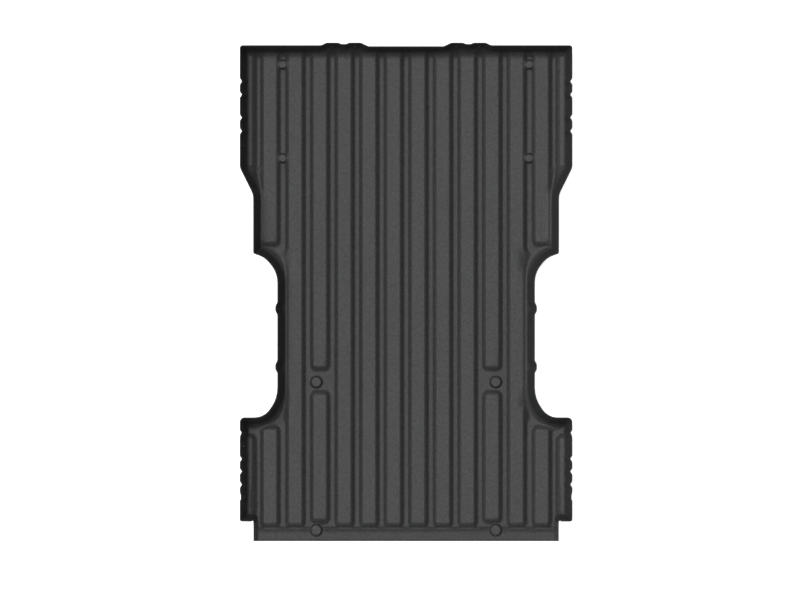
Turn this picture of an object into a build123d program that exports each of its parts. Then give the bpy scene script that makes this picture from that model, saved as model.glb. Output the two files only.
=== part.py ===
from build123d import *
import os
from math import atan2, cos, hypot, pi, radians, sin, tan

# Truck bed liner for a long pickup bed: one moulded tray with a ribbed floor, low drafted
# walls and wheelhouse notches, held to the bed walls by two-piece push-in retainers.
# Millimetres. +Y is towards the cab, +X to the right, +Z up.
# The origin is on the ground plane, under the middle of the tray's box.

# ---------------------------------------------------------------- overall sizes
length = 2460.0  # rear edge to the front pads
width = 1640.0  # across the wide quarters, at the rim
height = 150.0  # ground to rim
sheet = 4.0  # moulded sheet
draft = 12.5  # degrees that the walls lean outward

# ---------------------------------------------------------------- outline at the rim
pad_depth = 13.0  # how far the front pads stand out from the front wall
narrow_inset = 66.0  # the waist ahead of the wheelhouses, in from the full width
notch_gap = 1270.0  # between the two wheelhouse walls
notch_ramp_drop = 20.0
front_bend_run = 62.0  # how far outside the wheelhouse wall each bend begins
rear_bend_run = 66.0
front_corner = 15.0
small_corner = 12.0
quarter_corner = 24.0
front_bend_radii = (105.0, 136.0)
rear_bend_radii = (170.0, 90.0)
taper_radii = (60.0, 90.0)

# distances ahead of the rear edge
return_wall = 99.0
notch_end = 613.0
notch_rear_bend = 705.0
notch_front_bend = 1327.0
notch_start = 1420.0
taper_end = 1710.0
taper_start = 1843.0

# ---------------------------------------------------------------- floor
rib_height = 18.0
rib_top_width = 62.0
rib_side_run = 20.0  # plan width of a rib's side slope
rib_end_run = 24.0  # plan length of a rib's end slope
rib_corner = 12.0
rib_pitch = 121.5
outer_rib_offset = 671.0
rib_tail = 87.0  # rear edge to the long ribs' flat tops
split_rib_tail = 109.0
split_gap_ahead = 77.0  # boss centre to the split rib's two flat tops
split_gap_behind = 62.0
outer_rib_gap_ahead = 57.0  # wheelhouse notch to the outer ribs' flat tops
outer_rib_gap_behind = 62.0

ledge_inset = 59.0  # rim to the inner edge of the ledge along the wide quarters
ledge_run = 25.0
ledge_past_taper = 73.0
ledge_gap_behind = 104.0  # wheelhouse notch to the rear ledge
ledge_tail = 144.0

crease_station = 57.0  # shallow groove between the ribbed floor and the sill strip
crease_width = 5.0
crease_depth = 1.5
sill_half_width = 758.0
sill_lip_height = 20.0
sill_lip_run = 25.0
mouth_step = 13.0  # the return walls stop this far inside the sill's lips

# ---------------------------------------------------------------- bolt-clearance bosses
small_boss = (17.0, 24.0)  # top and foot radius
large_boss = (23.0, 32.0)
large_boss_shift = 18.0  # outward from the split rib's centre line
small_boss_stations = (93.0, 556.0)  # behind the front wall's rim
large_boss_stations = (55.0, 786.0)  # ahead of the rear edge

# ---------------------------------------------------------------- front pads
pad_widths = (99.0, 94.0)
pad_offsets = (252.0, 363.0)
pad_side_run = 9.0
pad_foot = 34.0  # where the pads start above the ground

# ---------------------------------------------------------------- push-in retainers
retainer_height = 80.0
retainer_ahead_of_taper = 107.0
retainer_behind_notch = 143.0
shoulder_radius = 5.0  # in the liner's own hole
shoulder_clearance = 0.2
shank_radius = 4.0  # through the bed wall's hole
shank_length = 4.0  # uncut, beyond the sheet's outer face
leg_length = 8.0
leg_tip_radius = 3.5
flange_radius = 10.0
flange_thickness = 3.0
flange_edge = 0.8
pin_radius = 2.45
pin_clearance = 0.05
head_radius = 6.2
head_thickness = 2.0
head_edge = 0.6
head_side_gap = 0.4
head_seat_gap = 0.15
head_recess = 1.2
leg_slot = 1.2
pin_tip_chamfer = 1.0
pin_short = 0.6  # how far the pin's tip stays inside the sleeve
pry_slot_width = 3.0

# ---------------------------------------------------------------- worked out
half_length = length / 2
half_width = width / 2
lean = radians(draft)
wall_spread = height * tan(lean)
wall_plan = sheet / cos(lean)
rim_front = half_length - pad_depth
waist_half = half_width - narrow_inset
notch_half = notch_gap / 2
rib_top = sheet + rib_height
overshoot = 60.0  # how far a cutting or raised block passes the walls
headroom = 20.0  # how far the cavity passes the rim
least_radius = 6.0
split_rib = 3  # the fourth rib out from the middle stops at a boss
beyond_front = half_length + overshoot


def ahead(distance):
    """Y of a point given by its distance ahead of the rear edge."""
    return distance - half_length


def rim_corners():
    """Right-hand corners of the rim, rear to front, as (x, y, radius)."""
    notch_front = ahead(notch_start)
    return [
        (half_width, ahead(return_wall), small_corner),
        (half_width, ahead(notch_end), quarter_corner),
        (notch_half + rear_bend_run, ahead(notch_end), rear_bend_radii[1]),
        (notch_half, ahead(notch_rear_bend), rear_bend_radii[0]),
        (notch_half, ahead(notch_front_bend), front_bend_radii[1]),
        (notch_half + front_bend_run, notch_front - notch_ramp_drop, front_bend_radii[0]),
        (waist_half, notch_front, small_corner),
        (waist_half, ahead(taper_end), taper_radii[1]),
        (half_width, ahead(taper_start), taper_radii[0]),
        (half_width, rim_front, front_corner),
    ]


def moved_corners(corners, distance):
    """Closed outline moved outward by distance, with the radius that each arc then has."""
    moved = []
    count = len(corners)
    for i, (x, y, radius) in enumerate(corners):
        before = corners[i - 1]
        after = corners[(i + 1) % count]
        way_in = atan2(y - before[1], x - before[0])
        way_out = atan2(after[1] - y, after[0] - x)
        turn = (way_out - way_in + pi) % (2 * pi) - pi
        middle = way_in + turn / 2
        reach = distance / cos(turn / 2)
        new_radius = radius + distance if turn > 0 else radius - distance
        moved.append(
            (x + reach * sin(middle), y - reach * cos(middle), max(new_radius, least_radius))
        )
    return moved


def tray_outline(distance):
    """Draws the tray's outline, moved outward by distance, in the open BuildLine."""
    right = rim_corners()
    left = [(-x, y, radius) for x, y, radius in reversed(right)]
    corners = moved_corners(right + left, distance)
    FilletPolyline(
        *[(x, y) for x, y, _ in corners], radius=[r for _, _, r in corners], close=True
    )


def slope_shift(z, run, under):
    """How far a rib's side lies outside its flat top at height z, above or under the sheet."""
    thickness = sheet * hypot(run, rib_height) / rib_height if under else 0.0
    return (rib_top - z) * run / rib_height - thickness


def floor_levels(under):
    """Lowest and highest level of a raised form, or of the hollow below it."""
    return (-sheet, rib_top - sheet) if under else (0.0, rib_top)


def raised_block(x_low, x_high, y_low, y_high, under=False, side_run=rib_side_run):
    """Adds a rib-high block, given by its flat top, to the open BuildPart."""
    sections = []
    for z in floor_levels(under):
        side = slope_shift(z, side_run, under)
        end = slope_shift(z, rib_end_run, under)
        with BuildSketch(Plane.XY.offset(z)) as section:
            with Locations(((x_low + x_high) / 2, (y_low + y_high) / 2)):
                RectangleRounded(x_high - x_low + 2 * side, y_high - y_low + 2 * end, rib_corner)
        sections.append(section.sketch)
    loft(sections, ruled=True)


def boss_block(x, y, radii, under=False):
    """Adds one round bolt-clearance boss to the open BuildPart."""
    run = radii[1] - radii[0]
    sections = []
    for z in floor_levels(under):
        with BuildSketch(Plane.XY.offset(z)) as section:
            with Locations((x, y)):
                Circle(radii[0] + slope_shift(z, run, under))
        sections.append(section.sketch)
    loft(sections, ruled=True)


def rib_spans():
    """Flat tops of the right-hand ribs, as (x_low, x_high, y_low, y_high)."""
    half_top = rib_top_width / 2
    lengths = [(rib_centre(i), ahead(rib_tail), beyond_front) for i in (0, 1, 2, 4)]
    split_y = ahead(large_boss_stations[1])
    lengths.append((rib_centre(split_rib), split_y + split_gap_ahead, beyond_front))
    lengths.append((rib_centre(split_rib), ahead(split_rib_tail), split_y - split_gap_behind))
    lengths.append((outer_rib_offset, ahead(notch_start) + outer_rib_gap_ahead, beyond_front))
    lengths.append((outer_rib_offset, ahead(rib_tail), ahead(notch_end) - outer_rib_gap_behind))
    return [(x - half_top, x + half_top, low, high) for x, low, high in lengths]


def ledge_spans():
    """Flat tops of the right-hand ledges, which run out through the side wall."""
    inner = half_width - ledge_inset
    outer = half_width + overshoot
    return [
        (inner, outer, ahead(taper_start) - ledge_past_taper, beyond_front),
        (inner, outer, ahead(ledge_tail), ahead(notch_end) - ledge_gap_behind),
    ]


def boss_places():
    """Right-hand bosses as (x, y, radii)."""
    small_x = (rib_centre(4) + outer_rib_offset) / 2
    large_x = rib_centre(split_rib) + large_boss_shift
    places = [(small_x, rim_front - distance, small_boss) for distance in small_boss_stations]
    places += [(large_x, ahead(distance), large_boss) for distance in large_boss_stations]
    return places


def rib_centre(number):
    """X of a right-hand rib, counted from the middle."""
    return rib_pitch * (number + 0.5)


def wall_seat(x, y, out_x, out_y, rim_out):
    """Plane on the wall's inner face at the retainers' height, its Z axis into the tray.

    x and y are on the rim, (out_x, out_y) points out of the tray, and rim_out is how far
    the wall stands out there.
    """
    inward = (height - retainer_height) * tan(lean) + wall_plan - rim_out
    return Plane(
        origin=(x - out_x * inward, y - out_y * inward, retainer_height),
        x_dir=(-out_y, out_x, 0),
        z_dir=(-out_x * cos(lean), -out_y * cos(lean), sin(lean)),
    )


def retainer_seats():
    """Each retainer's place name and the plane that its flange seats on."""
    seats = {}
    for side, name in ((-1, "left"), (1, "right")):
        for offset_x, spot in zip(pad_offsets, ("inner", "outer")):
            seats[f"front_{name}_{spot}"] = wall_seat(side * offset_x, rim_front, 0, 1, pad_depth)
        stations = {
            "front": ahead(taper_start) + retainer_ahead_of_taper,
            "rear": ahead(notch_end) - retainer_behind_notch,
        }
        for spot, y in stations.items():
            seats[f"{name}_{spot}"] = wall_seat(side * half_width, y, side, 0, 0)
    return seats


def pad_block(x, pad_width, under=False):
    """Adds one front pad, or the hollow behind it, to the open BuildPart."""
    depth = pad_depth * cos(lean)
    shift = sheet * hypot(pad_side_run, depth) / depth if under else 0.0
    outer_face = Plane(
        origin=(x, rim_front, height), x_dir=(1, 0, 0), z_dir=(0, cos(lean), -sin(lean))
    )
    foot = (height - pad_foot) / cos(lean)
    start = -2 * sheet if under else -sheet
    finish = depth - sheet if under else depth
    sections = []
    for level in (start, finish):
        spread = (depth - level) * pad_side_run / depth - shift
        bottom = foot + spread
        with BuildSketch(outer_face.offset(level)) as section:
            with Locations((0, (bottom - headroom) / 2)):
                Rectangle(pad_width + 2 * spread, bottom + headroom)
        sections.append(section.sketch)
    loft(sections, ruled=True)


def sill_block(half_top, half_foot, low, top, y_low, y_high):
    """Adds a straight channel form along the tailgate sill to the open BuildPart."""
    sections = []
    for z, half in ((low, half_foot), (top, half_top)):
        with BuildSketch(Plane.XY.offset(z)) as section:
            with Locations((0, (y_low + y_high) / 2)):
                Rectangle(2 * half, y_high - y_low)
        sections.append(section.sketch)
    loft(sections, ruled=True)


def raised_floor(under):
    """Adds every rib, ledge and boss, or the hollows below them, to the open BuildPart."""
    for side in (-1, 1):
        for x_low, x_high, y_low, y_high in rib_spans():
            ends = sorted((side * x_low, side * x_high))
            raised_block(ends[0], ends[1], y_low, y_high, under)
        for x_low, x_high, y_low, y_high in ledge_spans():
            ends = sorted((side * x_low, side * x_high))
            raised_block(ends[0], ends[1], y_low, y_high, under, ledge_run)
        for x, y, radii in boss_places():
            boss_block(side * x, y, radii, under)


# ---------------------------------------------------------------- liner tray
lip_slope = sill_lip_run / sill_lip_height
lip_plan = sheet * hypot(1, lip_slope)
rear_edge = -half_length
inside = ahead(return_wall) + wall_spread + sheet

with BuildPart() as outer_form:
    for z, distance in ((0, -wall_spread), (height, 0)):
        with BuildSketch(Plane.XY.offset(z)):
            with BuildLine():
                tray_outline(distance)
            make_face()
    loft(ruled=True)
    for offset_x, pad_width in zip(pad_offsets, pad_widths):
        for side in (-1, 1):
            pad_block(side * offset_x, pad_width)
    split(bisect_by=Plane.XY.offset(height), keep=Keep.BOTTOM)
    sill_block(sill_half_width, sill_half_width - sill_lip_run, 0, sill_lip_height, rear_edge, inside)

with BuildPart() as cavity:
    for z in (sheet, height + headroom):
        with BuildSketch(Plane.XY.offset(z)):
            with BuildLine():
                tray_outline((z - height) * tan(lean) - wall_plan)
            make_face()
    loft(ruled=True)
    for offset_x, pad_width in zip(pad_offsets, pad_widths):
        for side in (-1, 1):
            pad_block(side * offset_x, pad_width, under=True)
    split(bisect_by=Plane.XY.offset(sheet), keep=Keep.TOP)
    lip_top = sill_half_width - lip_plan
    lip_foot = lip_top - (sill_lip_height - sheet) * lip_slope
    behind = rear_edge - headroom
    sill_block(lip_top, lip_foot, sheet, sill_lip_height, behind, inside)
    mouth_half = sill_half_width - mouth_step
    sill_block(mouth_half, mouth_half, sill_lip_height, height + headroom, behind, inside)

with BuildPart() as ribs:
    raised_floor(under=False)

with BuildPart() as hollows:
    raised_floor(under=True)

seats = retainer_seats()

with BuildPart() as liner_tray:
    add(outer_form.part)
    add(cavity.part - ribs.part, mode=Mode.SUBTRACT)
    add(hollows.part, mode=Mode.SUBTRACT)
    with BuildSketch(Plane.XY.offset(sheet)):
        with Locations((0, ahead(crease_station))):
            Rectangle(2 * lip_foot - 2 * sheet, crease_width)
    extrude(amount=-crease_depth, mode=Mode.SUBTRACT)
    for seat in seats.values():
        with BuildSketch(seat.offset(flange_thickness)):
            Circle(shoulder_radius + shoulder_clearance)
        extrude(amount=-(flange_thickness + 2 * sheet), mode=Mode.SUBTRACT)

# ---------------------------------------------------------------- retainers
shank_end = sheet + shank_length
sleeve_length = shank_end + leg_length
bore_radius = pin_radius + pin_clearance
recess_radius = head_radius + head_side_gap
recess_floor = flange_thickness - head_recess
pin_length = recess_floor + head_seat_gap + sleeve_length - pin_short


def retainer_body(seat):
    """Flanged sleeve with a shoulder, a shank and four split legs, seated on the given plane."""
    with BuildPart() as body:
        with BuildSketch(Plane(origin=seat.origin, x_dir=seat.x_dir, z_dir=seat.y_dir)):
            with BuildLine():
                Polyline(
                    (bore_radius, -flange_thickness),
                    (flange_radius - flange_edge, -flange_thickness),
                    (flange_radius, flange_edge - flange_thickness),
                    (flange_radius, 0),
                    (shoulder_radius, 0),
                    (shoulder_radius, sheet),
                    (shank_radius, sheet),
                    (shank_radius, shank_end),
                    (leg_tip_radius, sleeve_length),
                    (bore_radius, sleeve_length),
                    close=True,
                )
            make_face()
        revolve(axis=seat_axis(seat))
        with BuildSketch(seat.offset(flange_thickness)):
            Circle(recess_radius)
            Rectangle(2 * flange_radius, pry_slot_width)
        extrude(amount=-head_recess, mode=Mode.SUBTRACT)
        with BuildSketch(seat.offset(-sleeve_length)):
            Rectangle(2 * flange_radius, leg_slot)
            Rectangle(leg_slot, 2 * flange_radius)
        extrude(amount=leg_length, mode=Mode.SUBTRACT)
    return body.part


def retainer_pin(seat):
    """Headed pin that spreads the sleeve's legs, pushed home."""
    head_plane = seat.offset(recess_floor + head_seat_gap)
    with BuildPart() as pin:
        with BuildSketch(head_plane):
            Circle(head_radius)
        extrude(amount=head_thickness)
        fillet(pin.edges().filter_by(GeomType.CIRCLE).sort_by(seat_axis(seat))[-1], head_edge)
        with BuildSketch(head_plane):
            Circle(pin_radius)
        extrude(amount=-pin_length)
        chamfer(pin.edges().filter_by(GeomType.CIRCLE).sort_by(seat_axis(seat))[0], pin_tip_chamfer)
    return pin.part


def seat_axis(seat):
    """Axis through the seat, pointing into the tray."""
    return Axis(seat.origin, seat.z_dir)


os.makedirs("parts", exist_ok=True)
pieces = {"liner_tray": liner_tray.part}
for place, seat in seats.items():
    pieces[f"retainer_body_{place}"] = retainer_body(seat)
    pieces[f"retainer_pin_{place}"] = retainer_pin(seat)
for name, piece in pieces.items():
    piece.label = name
    export_step(piece, f"parts/{name}.step")
    print(name, len(piece.solids()), round(piece.volume), piece.bounding_box().size)
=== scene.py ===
"""Finished look of a truck bed liner: moulded tray, push-in retainers, studio and camera.

Every length is in metres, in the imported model's frame: +Y towards the cab, +X to the right
and +Z up, with the ground at zero.
"""

from __future__ import annotations

import logging
import math
from dataclasses import dataclass, field
from enum import Enum

import bpy
import numpy as np
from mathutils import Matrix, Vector
from mathutils.geometry import delaunay_2d_cdt


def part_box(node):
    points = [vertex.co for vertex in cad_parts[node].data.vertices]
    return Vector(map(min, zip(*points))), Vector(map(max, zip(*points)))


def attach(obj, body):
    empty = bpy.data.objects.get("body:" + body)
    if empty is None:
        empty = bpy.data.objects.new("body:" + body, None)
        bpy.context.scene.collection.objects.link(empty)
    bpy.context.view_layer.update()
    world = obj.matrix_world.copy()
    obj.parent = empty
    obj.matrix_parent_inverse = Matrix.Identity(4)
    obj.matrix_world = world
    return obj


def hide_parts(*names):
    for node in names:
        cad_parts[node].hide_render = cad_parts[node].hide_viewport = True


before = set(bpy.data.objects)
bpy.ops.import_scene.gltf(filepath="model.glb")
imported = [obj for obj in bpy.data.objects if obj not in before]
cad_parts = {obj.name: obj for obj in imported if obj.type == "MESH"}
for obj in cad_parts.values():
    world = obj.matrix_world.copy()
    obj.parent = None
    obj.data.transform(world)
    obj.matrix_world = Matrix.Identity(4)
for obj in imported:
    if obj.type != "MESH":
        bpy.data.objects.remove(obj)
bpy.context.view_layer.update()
LOG = logging.getLogger("bed_liner")
STRAIGHT = 1e-6  # a turn below this, in radians, is no bend
CDT_REACH = 1e-7  # points nearer than this are one point to the triangulation
NO_LENGTH = 1e-6  # an edge shorter than this, in metres, has no direction
LIP_SWOOP = (0.15, 0.85)  # shares of the lip's corner between which the rim drops


class Measure(Enum):
    """Names of the values that the plan mesh carries to the relief nodes."""

    RISE = "wall_rise"
    PRESS = "wall_press"


# ------------------------------------------------------------------ node arithmetic
class Signal:
    """A node's output that takes part in ordinary arithmetic.

    Args:
        board: The board that owns the node tree.
        socket: The output socket that this signal stands for.
    """

    def __init__(self, board: NodeBoard, socket: bpy.types.NodeSocket) -> None:
        self.board = board
        self.socket = socket

    def __add__(self, other: Signal | float) -> Signal:
        """Sum of two values."""
        return self.board.math("ADD", self, other)

    __radd__ = __add__

    def __sub__(self, other: Signal | float) -> Signal:
        """This value less another."""
        return self.board.math("SUBTRACT", self, other)

    def __rsub__(self, other: float) -> Signal:
        """A number less this value."""
        return self.board.math("SUBTRACT", other, self)

    def __mul__(self, other: Signal | float) -> Signal:
        """Product of two values."""
        return self.board.math("MULTIPLY", self, other)

    __rmul__ = __mul__

    def __truediv__(self, other: Signal | float) -> Signal:
        """This value over another."""
        return self.board.math("DIVIDE", self, other)

    def __rtruediv__(self, other: float) -> Signal:
        """A number over this value."""
        return self.board.math("DIVIDE", other, self)

    def __abs__(self) -> Signal:
        """Size of this value."""
        return self.board.math("ABSOLUTE", self)

    def at_least(self, other: Signal | float) -> Signal:
        """The larger of two values."""
        return self.board.math("MAXIMUM", self, other)

    def at_most(self, other: Signal | float) -> Signal:
        """The smaller of two values."""
        return self.board.math("MINIMUM", self, other)

    def root(self) -> Signal:
        """Square root of this value."""
        return self.board.math("SQRT", self)

    def floor(self) -> Signal:
        """Whole number at or below this value."""
        return self.board.math("FLOOR", self)

    def near(self, target: Signal | float, reach: float) -> Signal:
        """One at the target, easing to zero at reach on both sides of it."""
        return abs(self - target).ease(0.0, reach, 1.0, 0.0)

    def matches(self, target: float) -> Signal:
        """One where this whole number is the target, otherwise zero."""
        return self.board.math("COMPARE", self, target, 0.5)

    def ease(self, low: float, high: float, start: float = 0.0, end: float = 1.0) -> Signal:
        """S-curve from start to end as this value goes from low to high."""
        return self.board.node(
            "ShaderNodeMapRange",
            {"interpolation_type": "SMOOTHSTEP"},
            {0: self, 1: low, 2: high, 3: start, 4: end},
        )

    def feed(self, shader: bpy.types.Node, name: str) -> None:
        """Links this value to a node's named input."""
        self.board.tree.links.new(self.socket, shader.inputs[name])


class NodeBoard:
    """Builds the nodes of one tree.

    Args:
        tree: A shader or geometry node tree.
    """

    def __init__(self, tree: bpy.types.NodeTree) -> None:
        self.tree = tree

    def node(
        self,
        kind: str,
        settings: dict[str, object] | None = None,
        inputs: dict[int | str, object] | None = None,
        output: int | str = 0,
    ) -> Signal:
        """Adds a node.

        Args:
            kind: The node's type.
            settings: Properties set before the sockets.
            inputs: Values or signals by socket index or name.
            output: The output that the result stands for.

        Returns:
            The chosen output.
        """
        made = self.tree.nodes.new(kind)
        for name, value in (settings or {}).items():
            setattr(made, name, value)
        for key, value in (inputs or {}).items():
            if isinstance(value, Signal):
                self.tree.links.new(value.socket, made.inputs[key])
            else:
                made.inputs[key].default_value = value
        return Signal(self, made.outputs[output])

    def math(self, operation: str, *values: Signal | float) -> Signal:
        """Adds a Math node and returns its result."""
        return self.node("ShaderNodeMath", {"operation": operation}, dict(enumerate(values)))

    def noise(self, place: Signal, scale: float, detail: float = 2.0) -> Signal:
        """Adds soft noise over the given coordinates."""
        inputs = {"Vector": place, "Scale": scale, "Detail": detail}
        return self.node("ShaderNodeTexNoise", None, inputs)

    def shaded(self, tone: tuple[float, float, float], shade: Signal) -> Signal:
        """The colour whose three parts are the tone's times a value."""
        grey = self.node("ShaderNodeCombineColor", None, {0: shade, 1: shade, 2: shade})
        settings = {"data_type": "RGBA", "blend_type": "MULTIPLY"}
        return self.node("ShaderNodeMix", settings, {0: 1.0, 6: (*tone, 1.0), 7: grey}, 2)

    def bump(self, height: Signal, depth: float, normal: Signal | None = None) -> Signal:
        """Adds a bump of the given depth, over another where one is given."""
        inputs = {"Distance": depth, "Height": height}
        if normal is not None:
            inputs["Normal"] = normal
        return self.node("ShaderNodeBump", None, inputs)


# ------------------------------------------------------------------ finishes
def new_material(name: str) -> tuple[bpy.types.Material, NodeBoard, bpy.types.Node]:
    """Makes a material with a node tree.

    Args:
        name: The material's name.

    Returns:
        The material, the board for its tree and its shader node.
    """
    made = bpy.data.materials.new(name)
    made.use_nodes = True
    return made, NodeBoard(made.node_tree), made.node_tree.nodes["Principled BSDF"]


@dataclass(frozen=True)
class PebbledSheet:
    """Vacuum-formed polyethylene sheet with a fine pebble grain on its upper side and painted
    shade in its valleys.
    """

    tone: tuple[float, float, float] = (0.038, 0.0385, 0.039)
    specular: float = 0.18
    mottle: float = 0.10
    mottle_per_metre: float = 2.3
    streak_share: float = 0.6
    speckle: float = 1.0
    speckle_per_metre: float = 105.0
    # painted shade: the valley colour is the tone times valley_shade, easing to the full tone
    # between the two heights below
    valley_shade: float = 0.86
    painted_shade_heights: tuple[float, float] = (0.006, 0.020)
    roughness: float = 0.46
    roughness_spread: float = 0.10
    grain_per_metre: float = 330.0
    grain_depth: float = 0.00042
    grain_softness: float = 0.7
    ripple_per_metre: float = 9.0
    ripple_depth: float = 0.0006
    streaks: tuple[float, float, float] = (70.0, 1.6, 20.0)

    def material(self) -> bpy.types.Material:
        """Builds the finish.

        Returns:
            The material for the tray.
        """
        made, board, shader = new_material("liner_polyethylene_sheet")
        place = board.node("ShaderNodeTexCoord", output="Object")
        mottle = board.noise(place, self.mottle_per_metre, 4.0)
        drawn = board.node("ShaderNodeMapping", None, {"Vector": place, "Scale": self.streaks})
        streak = board.noise(drawn, 1.0)
        speck = board.noise(place, self.speckle_per_metre, 1.0)
        broad = ((mottle - 0.5) + (streak - 0.5) * self.streak_share) * self.mottle
        level = board.node("ShaderNodeSeparateXYZ", None, {"Vector": place}, "Z")
        # painted shade: the base colour darkens towards the valleys between the ribs, where shade
        # falls
        painted_valley_shade = level.ease(*self.painted_shade_heights, self.valley_shade, 1.0)
        shade = painted_valley_shade * (1.0 + broad + (speck - 0.5) * self.speckle)
        board.shaded(self.tone, shade).feed(shader, "Base Color")
        (self.roughness + (mottle - 0.5) * self.roughness_spread).feed(shader, "Roughness")
        shader.inputs["Specular IOR Level"].default_value = self.specular
        cells = board.node(
            "ShaderNodeTexVoronoi",
            {"feature": "SMOOTH_F1"},
            {"Vector": place, "Scale": self.grain_per_metre, "Smoothness": self.grain_softness},
        )
        waves = board.bump(board.noise(place, self.ripple_per_metre), self.ripple_depth)
        board.bump(1.0 - cells, self.grain_depth, waves).feed(shader, "Normal")
        return made


@dataclass(frozen=True)
class MouldedPlastic:
    """Injection-moulded plastic of a small fastener."""

    name: str
    tone: tuple[float, float, float]
    roughness: float
    roughness_spread: float = 0.2
    cloud_per_metre: float = 240.0
    cloud_depth: float = 0.3
    grain_per_metre: float = 900.0
    grain_depth: float = 0.00004

    def material(self) -> bpy.types.Material:
        """Builds the finish.

        Returns:
            The material for one kind of moulding.
        """
        made, board, shader = new_material(self.name)
        place = board.node("ShaderNodeTexCoord", output="Object")
        cloud = board.noise(place, self.cloud_per_metre, 3.0)
        shade = 1.0 + (cloud - 0.5) * self.cloud_depth
        board.shaded(self.tone, shade).feed(shader, "Base Color")
        (self.roughness + (cloud - 0.5) * self.roughness_spread).feed(shader, "Roughness")
        grain = board.noise(place, self.grain_per_metre)
        board.bump(grain, self.grain_depth).feed(shader, "Normal")
        return made


@dataclass(frozen=True)
class StudioFloor:
    """Pale matt floor with a faint cloudiness, bright enough to read as white."""

    tone: tuple[float, float, float] = (0.86, 0.86, 0.86)
    roughness: float = 0.9
    cloud_per_metre: float = 0.7
    cloud_depth: float = 0.02
    glow: float = 0.80

    def material(self) -> bpy.types.Material:
        """Builds the finish.

        Returns:
            The floor's material.
        """
        made, board, shader = new_material("studio_floor")
        place = board.node("ShaderNodeTexCoord", output="Object")
        cloud = board.noise(place, self.cloud_per_metre)
        shade = 1.0 - (1.0 - cloud) * self.cloud_depth
        board.shaded(self.tone, shade).feed(shader, "Base Color")
        shader.inputs["Roughness"].default_value = self.roughness
        shader.inputs["Specular IOR Level"].default_value = 0.0
        shader.inputs["Emission Color"].default_value = (1.0, 1.0, 1.0, 1.0)
        shader.inputs["Emission Strength"].default_value = self.glow
        return made


# ------------------------------------------------------------------ rim in plan
@dataclass
class Corner:
    """One corner of the rim in plan.

    Args:
        x: Across, in metres.
        y: Along, in metres.
        radius: Bend radius at the rim.
        fillet: Radius between wall and floor from this corner on, the way the rim is followed.
    """

    x: float
    y: float
    radius: float
    fillet: float


@dataclass
class RimOutline:
    """The tray's rim in plan: wide quarters, tapers, waist, wheelhouse notches and sill lips.

    It is followed from the rear right, along the right side, the front and the left side, to
    the rear left, so that the tray lies on its left.
    """

    half_width: float
    rear: float
    front: float
    waist_inset: float = 0.066
    notch_gap: float = 1.270
    notch_ramp_drop: float = 0.020
    front_bend_run: float = 0.062
    rear_bend_run: float = 0.066
    lip_half_width: float = 0.758
    return_wall: float = 0.099
    notch_end: float = 0.613
    notch_rear_bend: float = 0.705
    notch_front_bend: float = 1.327
    notch_start: float = 1.420
    taper_end: float = 1.710
    taper_start: float = 1.843
    lip_bend: float = 0.006
    small_bend: float = 0.012
    quarter_bend: float = 0.024
    rear_bends: tuple[float, float] = (0.170, 0.090)
    front_bends: tuple[float, float] = (0.105, 0.136)
    taper_bends: tuple[float, float] = (0.060, 0.090)
    front_corner_bend: float = 0.015
    least_radius: float = 0.006
    end_fillet: float = 0.037
    quarter_fillet: float = 0.015
    notch_fillet: float = 0.036
    lip_fillet: float = 0.010
    arc_step: float = math.radians(9.0)
    edge_fill: float = 0.95

    def ahead(self, distance: float) -> float:
        """Y of a point given by its distance ahead of the rear edge."""
        return self.rear + distance

    def right_side(self) -> list[Corner]:
        """Corners of the right half, rear to front."""
        wide, waist = self.half_width, self.half_width - self.waist_inset
        notch, lip = self.notch_gap / 2, self.lip_half_width
        back, end = self.ahead(self.return_wall), self.ahead(self.notch_end)
        start = self.ahead(self.notch_start)
        ramp_end = start - self.notch_ramp_drop
        quarter, inner = self.quarter_fillet, self.notch_fillet
        return [
            Corner(lip, self.rear, 0.0, self.lip_fillet),
            Corner(lip, back, self.lip_bend, quarter),
            Corner(wide, back, self.small_bend, quarter),
            Corner(wide, end, self.quarter_bend, self.end_fillet),
            Corner(notch + self.rear_bend_run, end, self.rear_bends[1], inner),
            Corner(notch, self.ahead(self.notch_rear_bend), self.rear_bends[0], inner),
            Corner(notch, self.ahead(self.notch_front_bend), self.front_bends[1], inner),
            Corner(notch + self.front_bend_run, ramp_end, self.front_bends[0], inner),
            Corner(waist, start, self.small_bend, inner),
            Corner(waist, self.ahead(self.taper_end), self.taper_bends[1], inner),
            Corner(wide, self.ahead(self.taper_start), self.taper_bends[0], quarter),
            Corner(wide, self.front, self.front_corner_bend, self.end_fillet),
        ]

    def corners(self) -> list[Corner]:
        """Corners of the whole rim, in the order that it is followed."""
        right = self.right_side()
        fillets = [corner.fillet for corner in right[-2::-1]] + [self.lip_fillet]
        return right + [Corner(-c.x, c.y, c.radius, f) for c, f in zip(right[::-1], fillets)]

    def moved(self, inset: float) -> list[tuple[np.ndarray, float, float, float]]:
        """Moves the rim inward.

        Args:
            inset: Distance, level and square to the wall.

        Returns:
            For each corner its point, bend radius, direction of the edge before it and turn.
        """
        corners = self.corners()
        points = [np.array((c.x, c.y)) for c in corners]
        ways = [math.atan2(*(b - a)[::-1]) for a, b in zip(points, points[1:])]
        moved = []
        for i, corner in enumerate(corners):
            way_in, way_out = ways[max(i - 1, 0)], ways[min(i, len(ways) - 1)]
            turn = (way_out - way_in + math.pi) % (2 * math.pi) - math.pi
            middle = way_in + turn / 2
            reach = inset / math.cos(turn / 2)
            radius = corner.radius - math.copysign(inset, turn) if turn else 0.0
            shift = np.array((-math.sin(middle), math.cos(middle))) * reach
            moved.append([points[i] + shift, max(radius, self.least_radius), way_in, turn])
        for before, after in zip(moved, moved[1:]):
            room = self.edge_fill * float(np.linalg.norm(after[0] - before[0]))
            spare = [abs(math.tan(c[3] / 2)) for c in (before, after)]
            need = before[1] * spare[0] + after[1] * spare[1]
            if need > room:
                larger, index = (before, 0) if before[1] > after[1] else (after, 1)
                larger[1] -= (need - room) / spare[index]
        return [tuple(c) for c in moved]


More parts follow.
